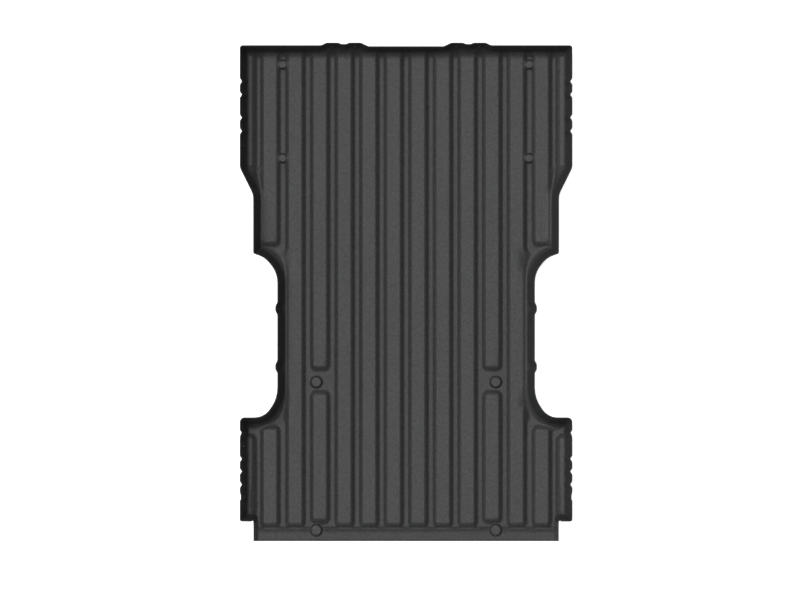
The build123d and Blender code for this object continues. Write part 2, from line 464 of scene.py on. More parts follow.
@dataclass
class RimSample:
    """One place along the rim.

    Args:
        corner: Number of the corner that it is on, or that starts its edge.
        share: Share of that corner's arc, or None on an edge.
        along: Distance from the corner along the edge, on the innermost ring.
    """

    corner: int
    share: float | None
    along: float = 0.0


@dataclass
class RimPath:
    """Places along the rim that every ring of wall points repeats."""

    outline: RimOutline
    deepest: float
    x_lines: list[float]
    y_lines: list[float]
    longest_step: float = 0.014
    margin: float = 0.12
    margin_share: float = 0.35
    swoop_steps: int = 14
    least_arc_steps: int = 4
    least_gap: float = 0.0015
    samples: list[RimSample] = field(default_factory=list)

    def __post_init__(self) -> None:
        """Chooses the samples on the innermost ring."""
        inner = self.outline.moved(self.deepest)
        last = len(inner) - 1
        for i, (_, _, _, turn) in enumerate(inner):
            if abs(turn) > STRAIGHT:
                count = max(self.least_arc_steps, math.ceil(abs(turn) / self.outline.arc_step))
                count = self.swoop_steps if i in (1, last - 1) else count
                self.samples += [RimSample(i, k / count) for k in range(count + 1)]
            else:
                self.samples.append(RimSample(i, 0.0))
            if i < last:
                self.samples += self._edge_samples(i, inner)

    def _edge_samples(self, i: int, inner: list) -> list[RimSample]:
        """Samples on the edge after corner i, at the mesh lines that cross it."""
        start, end = self._edge_span(i, inner)
        origin = inner[i][0]
        ahead = (inner[i + 1][0] - origin) / np.linalg.norm(inner[i + 1][0] - origin)
        axis = 0 if abs(ahead[0]) > abs(ahead[1]) else 1
        lines = self.x_lines if axis == 0 else self.y_lines
        marks = sorted((line - origin[axis]) / ahead[axis] for line in lines)
        between = [m for m in marks if start + self.least_gap < m < end - self.least_gap]
        chosen = []
        for low, high in zip([start, *between], [*between, end]):
            parts = max(1, math.ceil((high - low) / self.longest_step))
            chosen += [low + (high - low) * k / parts for k in range(1, parts + 1)]
        return [RimSample(i, None, mark) for mark in chosen[:-1]]

    @staticmethod
    def _edge_span(i: int, ring: list) -> tuple[float, float]:
        """Where the straight part of the edge after corner i starts and ends."""
        point, radius, _, turn = ring[i]
        after, after_radius, _, after_turn = ring[i + 1]
        length = float(np.linalg.norm(after - point))
        start = radius * abs(math.tan(turn / 2))
        return start, length - after_radius * abs(math.tan(after_turn / 2))

    def ring(self, insets: np.ndarray) -> np.ndarray:
        """Places every sample at its own distance inside the rim.

        Args:
            insets: One distance for each sample.

        Returns:
            The samples' places in plan.
        """
        inner = self.outline.moved(self.deepest)
        made = np.zeros((len(self.samples), 2))
        known: dict[float, list] = {}
        for n, (sample, inset) in enumerate(zip(self.samples, insets)):
            key = round(float(inset), 7)
            if key not in known:
                known[key] = self.outline.moved(key)
            made[n] = self._place(sample, known[key], inner)
        return made

    def _place(self, sample: RimSample, ring: list, inner: list) -> np.ndarray:
        """Place of one sample on one ring."""
        point, radius, way, turn = ring[sample.corner]
        if sample.share is not None:
            if abs(turn) < STRAIGHT:
                return point
            side = math.copysign(1.0, turn)
            reach = radius * abs(math.tan(turn / 2))
            start = point - reach * np.array((math.cos(way), math.sin(way)))
            centre = start + side * radius * np.array((-math.sin(way), math.cos(way)))
            now = way + turn * sample.share
            return centre + side * radius * np.array((math.sin(now), -math.cos(now)))
        start, end = self._edge_span(sample.corner, ring)
        inner_start, inner_end = self._edge_span(sample.corner, inner)
        after = ring[sample.corner + 1][0]
        ahead = (after - point) / np.linalg.norm(after - point)
        shift = float((inner[sample.corner][0] - point) @ ahead)
        low, high, mark = inner_start + shift, inner_end + shift, sample.along + shift
        margin = min(self.margin, self.margin_share * (end - start))
        near, far = max(start, low) + margin, min(end, high) - margin
        if near >= far:
            near = far = (near + far) / 2
        if mark < near:
            mark = start + (mark - low) * (near - start) / (near - low)
        elif mark > far:
            mark = end - (high - mark) * (end - far) / (high - far)
        return point + ahead * mark


# ------------------------------------------------------------------ floor
@dataclass
class RaisedBlock:
    """A long raised form on the floor, given by its flat top on the right-hand half.

    Args:
        centre: Middle of the flat top, across.
        half: Half the width of the flat top.
        side_run: Width of each side slope in plan.
        low: Rear end of the flat top.
        high: Front end of the flat top, or None where it runs out through the front wall.
    """

    centre: float
    half: float
    side_run: float
    low: float
    high: float | None


@dataclass
class Boss:
    """A round bolt-clearance boss, given on the right-hand half."""

    x: float
    y: float
    top: float
    foot: float
    bridge: tuple[float, float] | None = None


@dataclass
class FloorRelief:
    """Ribs, ledges, bosses and the crease of the floor, as a rule for height over the valleys."""

    outline: RimOutline
    height: float = 0.018
    pitch: float = 0.1215
    rib_half: float = 0.031
    side_run: float = 0.020
    end_run: float = 0.024
    rounding: float = 0.5
    softening: float = 0.12
    shoulder: float = 0.14
    pitched_ribs: int = 5
    split_rib: int = 3
    rib_tail: float = 0.087
    split_tail: float = 0.109
    split_gap_ahead: float = 0.077
    split_gap_behind: float = 0.062
    outer_rib: float = 0.671
    outer_gap_ahead: float = 0.057
    outer_gap_behind: float = 0.062
    ledge_inset: float = 0.059
    ledge_run: float = 0.025
    ledge_half: float = 0.1
    ledge_past_taper: float = 0.073
    ledge_gap_behind: float = 0.104
    ledge_tail: float = 0.144
    large_boss_shift: float = 0.018
    small_boss: tuple[float, float] = (0.017, 0.024)
    large_boss: tuple[float, float] = (0.023, 0.032)
    small_boss_stations: tuple[float, float] = (0.093, 0.556)
    large_boss_stations: tuple[float, float] = (0.055, 0.786)
    bridge_half: tuple[float, float] = (0.020, 0.013)
    bridge_run: float = 0.014
    bridge_share: float = 0.6
    crease_groove: tuple[float, float, float] = (0.067, 0.006, -0.0016)
    crease_bead: tuple[float, float, float] = (0.059, 0.008, 0.0030)
    flank_steps: int = 10
    end_steps: int = 7
    open_row: float = 0.120
    least_step: float = 0.0016
    boss_lines: tuple[float, ...] = (-1.25, -0.6, 0.6, 1.25)

    def rib_centre(self, number: int) -> float:
        """X of a right-hand rib, counted from the middle."""
        return self.pitch * (number + 0.5)

    def split_rib_block(self) -> RaisedBlock:
        """Rear piece of the rib that stops at a boss."""
        split = self.outline.ahead(self.large_boss_stations[1])
        return RaisedBlock(
            self.rib_centre(self.split_rib),
            self.rib_half,
            self.side_run,
            self.outline.ahead(self.split_tail),
            split - self.split_gap_behind,
        )

    def side_blocks(self) -> list[RaisedBlock]:
        """The ribs and ledges that lie outside the evenly pitched ribs."""
        ahead, rim = self.outline.ahead, self.outline
        notch_end = ahead(rim.notch_end)
        rib = (self.outer_rib, self.rib_half, self.side_run)
        centre = rim.half_width - self.ledge_inset + self.ledge_half
        ledge = (centre, self.ledge_half, self.ledge_run)
        return [
            RaisedBlock(*rib, ahead(rim.notch_start) + self.outer_gap_ahead, None),
            RaisedBlock(*rib, ahead(self.rib_tail), notch_end - self.outer_gap_behind),
            RaisedBlock(*ledge, ahead(rim.taper_start) - self.ledge_past_taper, None),
            RaisedBlock(*ledge, ahead(self.ledge_tail), notch_end - self.ledge_gap_behind),
        ]

    def bosses(self) -> list[Boss]:
        """The right-hand bosses."""
        small_x = (self.rib_centre(self.pitched_ribs - 1) + self.outer_rib) / 2
        large_x = self.rib_centre(self.split_rib) + self.large_boss_shift
        small = [self.outline.front - s for s in self.small_boss_stations]
        large = [self.outline.ahead(s) for s in self.large_boss_stations]
        return [Boss(small_x, y, *self.small_boss, self.bridge_half) for y in small] + [
            Boss(large_x, y, *self.large_boss) for y in large
        ]

    def _slope_shares(self, steps: int) -> list[float]:
        """Places of mesh lines across a slope, with one on the flat at each side."""
        slope = np.linspace(-self.softening, 1 + self.softening, steps - 2)
        return [slope[0] - self.shoulder, *slope, slope[-1] + self.shoulder]

    def flank_lines(self) -> list[float]:
        """Mesh lines across the floor, at the slopes of every rib and ledge."""
        centres = [self.rib_centre(i) for i in range(self.pitched_ribs)] + [self.outer_rib]
        shares = self._slope_shares(self.flank_steps)
        right = {0.0}
        for centre in centres:
            right.add(centre)
            for share in shares:
                reach = self.rib_half + self.side_run * share
                right.update((centre - reach, centre + reach))
        valley = self.rib_centre(self.pitched_ribs - 1) + self.pitch / 2
        right.update(self.pitch * i for i in range(1, self.pitched_ribs))
        right.add(valley)
        ledge = self.outline.half_width - self.ledge_inset
        right.update(ledge - self.ledge_run * share for share in shares)
        return sorted(right | {-x for x in right})

    def end_lines(self) -> list[float]:
        """Mesh lines along the floor, at the end slopes, the crease and between them."""
        shares = self._slope_shares(self.end_steps)
        blocks = [self.split_rib_block(), *self.side_blocks()]
        split = self.outline.ahead(self.large_boss_stations[1]) + self.split_gap_ahead
        lows = {b.low for b in blocks} | {self.outline.ahead(self.rib_tail), split}
        highs = {b.high for b in blocks if b.high is not None}
        lines = {round(low - self.end_run * s, 6) for low in lows for s in shares}
        lines |= {round(high + self.end_run * s, 6) for high in highs for s in shares}
        for station, reach, _ in (self.crease_groove, self.crease_bead):
            centre = self.outline.ahead(station)
            lines |= {round(centre + reach * k / 2, 6) for k in range(-2, 3)}
        for boss in self.bosses():
            lines |= {round(boss.y + boss.foot * k, 6) for k in self.boss_lines}
        span = sorted(lines | {self.outline.rear, self.outline.front})
        for low, high in zip(span, span[1:]):
            parts = math.ceil((high - low) / self.open_row)
            lines |= {low + (high - low) * k / parts for k in range(1, parts)}
        spread: list[float] = []
        for line in sorted(lines):
            if not spread or line - spread[-1] > self.least_step:
                spread.append(line)
        return spread

    def _raised(
        self,
        across: Signal,
        along: Signal,
        half: float,
        runs: tuple[Signal | float, Signal | float],
        low: Signal | float,
        high: float | None,
    ) -> Signal:
        """Share of the full height, for a block with rounded corners and eased slopes."""
        side_run, end_run = runs
        side = (across - half) / side_run + self.rounding
        end = (low - along) / end_run
        if high is not None:
            end = end.at_least((along - high) / end_run)
        end = end + self.rounding
        past_side, past_end = side.at_least(0.0), end.at_least(0.0)
        corner = past_side * past_side + past_end * past_end
        outside = corner.root() + side.at_least(end).at_most(0.0) - self.rounding
        return outside.ease(-self.softening, 1 + self.softening, 1.0, 0.0)

    def sizes(self) -> dict[str, float]:
        """Sizes that the rule takes as named inputs."""
        return {
            "Rib Height": self.height,
            "Rib Pitch": self.pitch,
            "Rib Top Width": 2 * self.rib_half,
            "Rib Side Run": self.side_run,
            "Rib End Run": self.end_run,
        }

    def height_over_valleys(
        self, across: Signal, along: Signal, size: dict[str, Signal]
    ) -> Signal:
        """Writes the rule as nodes.

        Args:
            across: X of a point.
            along: Y of a point.
            size: The named inputs.

        Returns:
            The floor's height over the valleys.
        """
        pitch, end_run = size["Rib Pitch"], size["Rib End Run"]
        side_run = size["Rib Side Run"]
        out = abs(across)
        number = (out / pitch).floor()
        pitched = (self.pitched_ribs + 0.0 - number).at_least(0.0).at_most(1.0)
        is_split = number.matches(float(self.split_rib))
        split_low = self.outline.ahead(self.large_boss_stations[1]) + self.split_gap_ahead
        tail = self.outline.ahead(self.rib_tail)
        low = is_split * (split_low - tail) + tail
        off_centre = abs(out - (number + 0.5) * pitch)
        beside = off_centre - (size["Rib Top Width"] / 2 - self.rib_half)
        runs = (side_run, end_run)
        bare = 1.0 - pitched * self._raised(beside, along, self.rib_half, runs, low, None)
        for block in [self.split_rib_block(), *self.side_blocks()]:
            run = side_run if block.side_run == self.side_run else block.side_run
            beside = abs(out - block.centre)
            form = self._raised(beside, along, block.half, (run, end_run), block.low, block.high)
            bare = bare * (1.0 - form)
        for boss in self.bosses():
            far = (out - boss.x) * (out - boss.x) + (along - boss.y) * (along - boss.y)
            spare = self.softening * (boss.foot - boss.top)
            bare = bare * (1.0 - far.root().ease(boss.top - spare, boss.foot + spare, 1.0, 0.0))
            if boss.bridge:
                half_x, half_y = boss.bridge
                runs = (self.bridge_run, self.bridge_run)
                ends = (boss.y - half_y, boss.y + half_y)
                pad = self._raised(abs(out - boss.x), along, half_x, runs, *ends)
                bare = bare * (1.0 - pad * self.bridge_share)
        crease = None
        for station, reach, rise in (self.crease_groove, self.crease_bead):
            line = along.near(self.outline.ahead(station), reach) * rise
            crease = line if crease is None else crease + line
        return (1.0 - bare) * size["Rib Height"] + crease * bare


# ------------------------------------------------------------------ wall
@dataclass
class WallProfile:
    """Section through the wall's inner face, from the rim to the flat floor."""

    sheet: float = 0.004
    lean: float = math.radians(12.5)
    lip_rise: float = 0.020
    lip_run: float = 0.025
    straight_steps: int = 4
    bend_steps: int = 8
    flat_margin: float = 0.002
    deepest: float = 0.068

    def section(self, rise: float, lean: float, fillet: float) -> tuple[np.ndarray, np.ndarray]:
        """Insets and heights of one section.

        Args:
            rise: Height of the rim over the ground.
            lean: How far the wall leans outward, in radians.
            fillet: Radius between wall and floor.

        Returns:
            Distances inside the rim, and heights over the valleys, from the rim down.
        """
        steep = math.pi / 2 - lean
        rim = self.sheet / math.cos(lean)
        foot = rim + (rise - self.sheet) * math.tan(lean)
        reach = fillet * math.tan(steep / 2)
        turns = np.linspace(steep, 0.0, self.bend_steps + 1)
        bend_in = foot + reach - fillet * np.sin(turns)
        bend_up = fillet * (1 - np.cos(turns))
        wall = np.linspace(0.0, 1.0, self.straight_steps, endpoint=False)
        wall_in = rim + (bend_in[0] - rim) * wall
        wall_up = (rise - self.sheet) + (bend_up[0] - (rise - self.sheet)) * wall
        flat_in = bend_in[-1] + self.flat_margin
        return np.append(wall_in, (*bend_in, flat_in)), np.append(wall_up, (*bend_up, 0.0))

    def lip_section(self, fillet: float) -> tuple[np.ndarray, np.ndarray]:
        """The low, slanting section along the sill's ends."""
        return self.section(self.lip_rise, math.atan2(self.lip_run, self.lip_rise), fillet)


@dataclass
class Dent:
    """A local press in the wall.

    Args:
        centre: Place along the wall: Y on a side wall, X on the front wall.
        depth: How far the wall moves into the tray, or out of it if below zero.
        half: Half the width where it is deepest.
        run: Width of each of its flanks.
        low: Height over the valleys where it starts.
        full: Height over the valleys from where it has its whole depth.
    """

    centre: float
    depth: float
    half: float
    run: float
    low: float
    full: float


def eased(value: np.ndarray, low: float, high: float) -> np.ndarray:
    """S-curve from zero at low to one at high."""
    share = np.clip((value - low) / (high - low), 0.0, 1.0)
    return share * share * (3.0 - 2.0 * share)


def inside(points: np.ndarray, edge: np.ndarray) -> np.ndarray:
    """Which points lie inside a closed outline, by counting crossings."""
    x, y = points[:, 0][:, None], points[:, 1][:, None]
    x0, y0 = edge[:, 0][None, :], edge[:, 1][None, :]
    x1, y1 = np.roll(edge[:, 0], -1)[None, :], np.roll(edge[:, 1], -1)[None, :]
    rising = (y0 > y) != (y1 > y)
    with np.errstate(divide="ignore", invalid="ignore"):
        at = x0 + (y - y0) * (x1 - x0) / (y1 - y0)
    return ((rising & (x < at)).sum(axis=1) % 2) == 1


@dataclass
class WallDents:
    """Pads, flutes and swells pressed into the walls.

    A form is a dent's depth, half width and flank run; flutes and swells add the height from
    where they have their whole depth. A rise is where a dent starts and where it is whole.
    """

    outline: RimOutline
    front_flutes: tuple[float, ...] = (2.268, 2.203, 2.090, 2.023)
    rear_flutes: tuple[float, ...] = (0.534, 0.408, 0.346, 0.282, 0.218)
    flute: tuple[float, float, float, float] = (0.0095, 0.0, 0.019, 0.040)
    swell_stations: tuple[float, float] = (1.149, 0.862)
    swell: tuple[float, float, float, float] = (-0.010, 0.008, 0.025, 0.060)
    side_low: float = 0.001
    pad_offsets: tuple[float, float] = (0.252, 0.363)
    pad: tuple[float, float, float] = (-0.007, 0.024, 0.022)
    platform_offset: float = 0.3075
    platform: tuple[float, float, float] = (-0.006, 0.094, 0.020)
    pad_rise: tuple[float, float] = (0.024, 0.042)
    recess: tuple[float, float, float] = (0.005, 0.185, 0.012)
    recess_rise: tuple[float, float] = (0.050, 0.110)
    least_share: float = 0.6

    def on_sides(self) -> list[Dent]:
        """Dents of a side wall."""
        kinds = (
            (self.front_flutes + self.rear_flutes, *self.flute),
            (self.swell_stations, *self.swell),
        )
        return [
            Dent(self.outline.ahead(station), depth, half, run, self.side_low, full)
            for stations, depth, half, run, full in kinds
            for station in stations
        ]

    def on_front(self) -> list[Dent]:
        """Dents of the front wall."""
        raised = [(x, self.pad) for x in self.pad_offsets]
        raised.append((self.platform_offset, self.platform))
        pads = [
            Dent(side * x, *form, *self.pad_rise) for side in (-1, 1) for x, form in raised
        ]
        return [*pads, Dent(0.0, *self.recess, *self.recess_rise)]

    @staticmethod
    def _lines(dents: list[Dent], steps: int) -> list[float]:
        """Mesh lines across the flanks of some dents."""
        flank = np.linspace(0.0, 1.0, steps)
        marks = [(dent.centre, dent.half + dent.run * share) for dent in dents for share in flank]
        return [centre + side * mark for centre, mark in marks for side in (-1, 1)]

    def side_lines(self) -> list[float]:
        """Mesh lines along the side walls, with one down the middle of each dent."""
        dents = self.on_sides()
        return self._lines(dents, 5) + [dent.centre for dent in dents]

    def front_lines(self) -> list[float]:
        """Mesh lines along the front wall."""
        return self._lines(self.on_front(), 4)

    def press(self, plan: np.ndarray, rise: np.ndarray, tray_side: np.ndarray) -> np.ndarray:
        """How far each wall point moves.

        Args:
            plan: The points in plan.
            rise: Their heights over the valleys.
            tray_side: Level directions from the wall into the tray.

        Returns:
            One level shift for each point.
        """
        shift = np.zeros((len(plan), 3))
        turned = self.least_share
        sideways = np.sign(tray_side[:, 0]) * (np.abs(tray_side[:, 0]) > turned)
        frontal = -1.0 * (tray_side[:, 1] < -turned)
        for dents, direction, axis in (
            (self.on_sides(), sideways, 1),
            (self.on_front(), frontal, 0),
        ):
            for dent in dents:
                off = np.abs(plan[:, axis] - dent.centre) - dent.half
                weight = (1.0 - eased(off, 0.0, dent.run)) * eased(rise, dent.low, dent.full)
                shift[:, 1 - axis] += weight * direction * dent.depth
        return shift


# ------------------------------------------------------------------ liner tray
@dataclass
class LinerTray:
    """The moulded tray: plan mesh, relief nodes, thickness and finish."""

    low: Vector
    high: Vector
    finish: PebbledSheet
    pad_depth: float = 0.013
    sheet: float = 0.004
    relief_fade: float = 0.055
    clearance: float = 0.003
    boss_rings: int = 8
    boss_core: float = 0.85
    boss_steps: int = 36
    boss_margin: float = 1.12
    boss_gap: float = 1.04
    edge_width: float = 0.0009
    edge_segments: int = 2
    edge_angle: float = math.radians(60.0)
    sharp: float = math.radians(42.0)
    outline: RimOutline = field(init=False)
    relief: FloorRelief = field(init=False)
    wall: WallProfile = field(init=False)
    dents: WallDents = field(init=False)

    def __post_init__(self) -> None:
        """Takes the overall sizes from the CAD tray's box."""
        front = self.high.y - self.pad_depth
        self.outline = RimOutline(self.high.x, self.low.y, front)
        self.relief = FloorRelief(self.outline)
        self.wall = WallProfile(self.sheet)
        self.dents = WallDents(self.outline)

    # -------------------------------------------------------------- plan mesh
    def _sections(self, path: RimPath) -> tuple[np.ndarray, np.ndarray]:
        """Insets and heights of every sample's section, one row for each sample."""
        corners = self.outline.corners()
        low = self.wall.lip_section(self.outline.lip_fillet)
        insets, heights = [], []
        for sample in path.samples:
            fillet = corners[sample.corner].fillet
            before = corners[max(sample.corner - 1, 0)].fillet
            if sample.share is not None:
                fillet = before + (fillet - before) * sample.share
            tall = self.wall.section(self.high.z, self.wall.lean, fillet)
            share = self._lip_share(sample, len(corners))
            insets.append(tall[0] * (1 - share) + low[0] * share)
            heights.append(tall[1] * (1 - share) + low[1] * share)
        return np.array(insets), np.array(heights)

    @staticmethod
    def _lip_share(sample: RimSample, count: int) -> float:
        """One along the sill's lips, zero along the walls and in between where the rim drops."""
        from_start, from_end = sample.corner, count - 1 - sample.corner
        if from_start == 0 or from_end == 0:
            return 1.0
        if from_start > 1 and from_end > 1:
            return 0.0
        share = 1.0 if sample.share is None else sample.share
        done = float(eased(np.array(share), *LIP_SWOOP))
        return 1.0 - done if from_start == 1 else done

    def _wall_points(self, path: RimPath) -> tuple[np.ndarray, np.ndarray, np.ndarray]:
        """Rings of wall points: places in plan, heights and dents, ring by ring from the rim."""
        insets, heights = self._sections(path)
        rings = [path.ring(column) for column in insets.T]
        inward = rings[-1] - rings[0]
        inward /= np.linalg.norm(inward, axis=1)[:, None]
        presses = [
            self.dents.press(ring, column, inward) for ring, column in zip(rings, heights.T)
        ]
        return np.array(rings), heights.T, np.array(presses)

    def _floor_points(
        self, ring: np.ndarray, x_lines: list[float], y_lines: list[float]
    ) -> tuple[np.ndarray, list[tuple[int, int]]]:
        """Lattice points inside the innermost ring, with polar points at the bosses.

        Args:
            ring: The closed outline round the points.
            x_lines: Lines across the floor.
            y_lines: Lines along the floor.

        Returns:
            The points, and the pairs of them that follow each other on a line across a slope.
        """
        grid = np.array(np.meshgrid(x_lines, y_lines, indexing="ij")).reshape(2, -1).T
        free = np.ones(len(grid), bool)
        polar = []
        links = np.arange(len(grid)).reshape(len(x_lines), -1)
        pairs = np.column_stack((links[:, :-1].ravel(), links[:, 1:].ravel()))
        for boss in self.relief.bosses():
            reach = boss.foot * self.boss_margin
            for side in (-1, 1):
                centre = np.array((side * boss.x, boss.y))
                free &= np.linalg.norm(grid - centre, axis=1) > reach * self.boss_gap
                beside = np.abs(grid[pairs[:, 0], 0] - centre[0]) > reach * self.boss_gap
                behind = grid[pairs[:, 1], 1] < centre[1]
                past = grid[pairs[:, 0], 1] > centre[1]
                pairs = pairs[beside | behind | past]
                turn = np.linspace(0, 2 * math.pi, self.boss_steps, endpoint=False)
                rim = np.column_stack((np.cos(turn), np.sin(turn)))
                radii = np.linspace(boss.top * self.boss_core, reach, self.boss_rings)
                polar += [centre + radius * rim for radius in radii] + [centre[None, :]]
        points = np.vstack([grid, *polar])
        free = np.concatenate((free, np.ones(len(points) - len(grid), bool)))
        free &= inside(points, ring)
        for a, b in zip(ring, np.roll(ring, -1, axis=0)):
            run = b - a
            share = np.clip(((points - a) @ run) / max(run @ run, NO_LENGTH**2), 0, 1)
            free &= np.linalg.norm(points - a - share[:, None] * run, axis=1) > self.clearance
        place = np.cumsum(free) - 1
        kept = pairs[free[pairs[:, 0]] & free[pairs[:, 1]]]
        middles = (points[kept[:, 0]] + points[kept[:, 1]]) / 2
        kept = kept[inside(middles, ring)]
        return points[free], [(int(place[a]), int(place[b])) for a, b in kept]

    @staticmethod
    def _triangles(
        loop: np.ndarray, floor: np.ndarray, links: list[tuple[int, int]]
    ) -> tuple[list[Vector], list[list[int]], list[list[int]]]:
        """Fills a closed outline with triangles.

        Args:
            loop: The outline.
            floor: The points inside it.
            links: Pairs of those points that have to be joined.

        Returns:
            The points, the triangles inside the outline, and the given points that each one is.
        """
        count = len(loop)
        edges = [(i, (i + 1) % count) for i in range(count)]
        edges += [(a + count, b + count) for a, b in links]
        flat = [Vector(p) for p in np.vstack([loop, floor])]
        made, _, triangles, sources, _, _ = delaunay_2d_cdt(flat, edges, [], 1, CDT_REACH, True)
        middles = np.array([sum((made[k] for k in t), Vector((0, 0))) / 3 for t in triangles])
        return made, [t for t, keep in zip(triangles, inside(middles, loop)) if keep], sources

    def _plan_mesh(self) -> bpy.types.Mesh:
        """Flat mesh of the tray's upper side, with heights and dents as attributes."""
        x_lines, y_lines = self.relief.flank_lines(), self.relief.end_lines()
        path = RimPath(
            self.outline,
            self.wall.deepest,
            x_lines + self.dents.front_lines(),
            y_lines + self.dents.side_lines(),
        )
        rings, rises, presses = self._wall_points(path)
        inner = rings[-1]
        reach = inner[0][0] - self.clearance
        rear_row = [(x, self.outline.rear) for x in x_lines if abs(x) < reach]
        loop = np.vstack([inner, rear_row])
        ahead_lines = [y for y in y_lines if y > self.outline.rear]
        floor, links = self._floor_points(loop, x_lines, ahead_lines)
        made, triangles, sources = self._triangles(loop, floor, links)
        per_ring = len(inner)
        inner_start = per_ring * (len(rings) - 1)
        index, extra = [], []
        for point, source in zip(made, sources):
            shared = [k for k in source if k < per_ring]
            index.append(inner_start + (shared[0] if shared else per_ring + len(extra)))
            extra += [] if shared else [tuple(point)]
        plan = np.vstack([rings.reshape(-1, 2), extra])
        rise = np.concatenate([rises.ravel(), np.zeros(len(extra))])
        press = np.vstack([presses.reshape(-1, 3), np.zeros((len(extra), 3))])
        starts = [n for n in range(inner_start) if (n + 1) % per_ring]
        faces = [tuple(index[k] for k in triangle) for triangle in triangles]
        faces += [(a, a + 1, a + 1 + per_ring, a + per_ring) for a in starts]
        mesh = bpy.data.meshes.new("liner_tray_plan")
        mesh.from_pydata([(x, y, 0.0) for x, y in plan], [], faces)
        for measure, kind, part, values in (
            (Measure.RISE, "FLOAT", "value", rise),
            (Measure.PRESS, "FLOAT_VECTOR", "vector", press),
        ):
            layer = mesh.attributes.new(measure.value, kind, "POINT")
            layer.data.foreach_set(part, values.astype(np.float32).ravel())
        mesh.validate()
        return mesh

    # -------------------------------------------------------------- relief nodes
    def _sizes(self) -> dict[str, float]:
        """Named inputs of the relief nodes."""
        own = {"Valley Level": self.sheet, "Relief Fade": self.relief_fade}
        return own | self.relief.sizes()

    def _relief_tree(self) -> bpy.types.NodeTree:
        """Node tree that raises the plan mesh into the tray's upper side."""
        tree = bpy.data.node_groups.new("liner_relief", "GeometryNodeTree")
        face = tree.interface
        face.new_socket("Geometry", in_out="INPUT", socket_type="NodeSocketGeometry")
        sizes = self._sizes()
        for name in sizes:
            face.new_socket(name, in_out="INPUT", socket_type="NodeSocketFloat")
        face.new_socket("Material", in_out="INPUT", socket_type="NodeSocketMaterial")
        face.new_socket("Geometry", in_out="OUTPUT", socket_type="NodeSocketGeometry")
        board = NodeBoard(tree)
        given = tree.nodes.new("NodeGroupInput")
        size = {name: Signal(board, given.outputs[name]) for name in sizes}
        place = board.node("GeometryNodeInputPosition")
        parts = tree.nodes.new("ShaderNodeSeparateXYZ")
        place.feed(parts, "Vector")
        across, along = Signal(board, parts.outputs["X"]), Signal(board, parts.outputs["Y"])
        kind = "GeometryNodeInputNamedAttribute"
        rise = board.node(kind, {"data_type": "FLOAT"}, {"Name": Measure.RISE.value})
        press = board.node(kind, {"data_type": "FLOAT_VECTOR"}, {"Name": Measure.PRESS.value})
        over = self.relief.height_over_valleys(across, along, size)
        fade = (1.0 - rise / size["Relief Fade"]).at_least(0.0).at_most(1.0)
        level = size["Valley Level"] + rise + over * fade
        flat = board.node("ShaderNodeCombineXYZ", None, {"X": across, "Y": along, "Z": level})
        moved = board.node("ShaderNodeVectorMath", {"operation": "ADD"}, {0: flat, 1: press})
        raised = board.node(
            "GeometryNodeSetPosition",
            None,
            {"Geometry": Signal(board, given.outputs["Geometry"]), "Position": moved},
        )
        whole = board.node("GeometryNodeRealizeInstances", None, {"Geometry": raised})
        dressed = board.node(
            "GeometryNodeSetMaterial",
            None,
            {"Geometry": whole, "Material": Signal(board, given.outputs["Material"])},
        )
        dressed.feed(tree.nodes.new("NodeGroupOutput"), "Geometry")
        return tree

    # -------------------------------------------------------------- piece
    @staticmethod
    def _rest_on_ground(mesh: bpy.types.Mesh) -> None:
        """Lifts every vertex that the groove's thickness has pushed below the ground."""
        places = np.empty(3 * len(mesh.vertices), np.float32)
        mesh.vertices.foreach_get("co", places)
        places[2::3] = np.maximum(places[2::3], 0.0)
        mesh.vertices.foreach_set("co", places)
        mesh.update()

    def build(self) -> bpy.types.Object:
        """Makes the finished tray.

        Returns:
            The tray, in place of the CAD tray.
        """
        blank = placed("liner_tray_blank", self._plan_mesh())
        tree = self._relief_tree()
        modifier = blank.modifiers.new("relief", "NODES")
        modifier.node_group = tree
        values = self._sizes() | {"Material": self.finish.material()}
        for item in tree.interface.items_tree:
            if item.in_out == "INPUT" and item.name in values:
                modifier[item.identifier] = values[item.name]
        upper = baked(blank, "liner_tray_upper")
        shell = placed("moulded_liner_tray", upper)
        thick = shell.modifiers.new("thickness", "SOLIDIFY")
        thick.thickness = self.sheet
        thick.offset = -1.0
        thick.use_even_offset = True
        thick.use_quality_normals = True
        edge = shell.modifiers.new("rim_edge", "BEVEL")
        edge.width = self.edge_width
        edge.segments = self.edge_segments
        edge.limit_method = "ANGLE"
        edge.angle_limit = self.edge_angle
        edge.use_clamp_overlap = True
        finished = baked(shell, "moulded_liner_tray")
        shell.modifiers.clear()
        shell.data = finished
        self._rest_on_ground(finished)
        for name in (m.value for m in Measure):
            found = finished.attributes.get(name)
            if found:
                finished.attributes.remove(found)
        finished.polygons.foreach_set("use_smooth", np.ones(len(finished.polygons), bool))
        finished.set_sharp_from_angle(angle=self.sharp)
        bpy.data.objects.remove(blank)
        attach(shell, "liner")
        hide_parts("liner_tray")
        return shell


def placed(name: str, data: bpy.types.ID) -> bpy.types.Object:
    """Makes an object for some data, at the origin of the scene."""
    made = bpy.data.objects.new(name, data)
    bpy.context.scene.collection.objects.link(made)
    return made


def baked(piece: bpy.types.Object, name: str) -> bpy.types.Mesh:
    """Turns an object and its modifiers into a plain mesh.

    Args:
        piece: The object.
        name: Name of the new mesh.

    Returns:
        The evaluated mesh.
    """
    graph = bpy.context.evaluated_depsgraph_get()
    mesh = bpy.data.meshes.new_from_object(piece.evaluated_get(graph))
    mesh.name = name
    return mesh


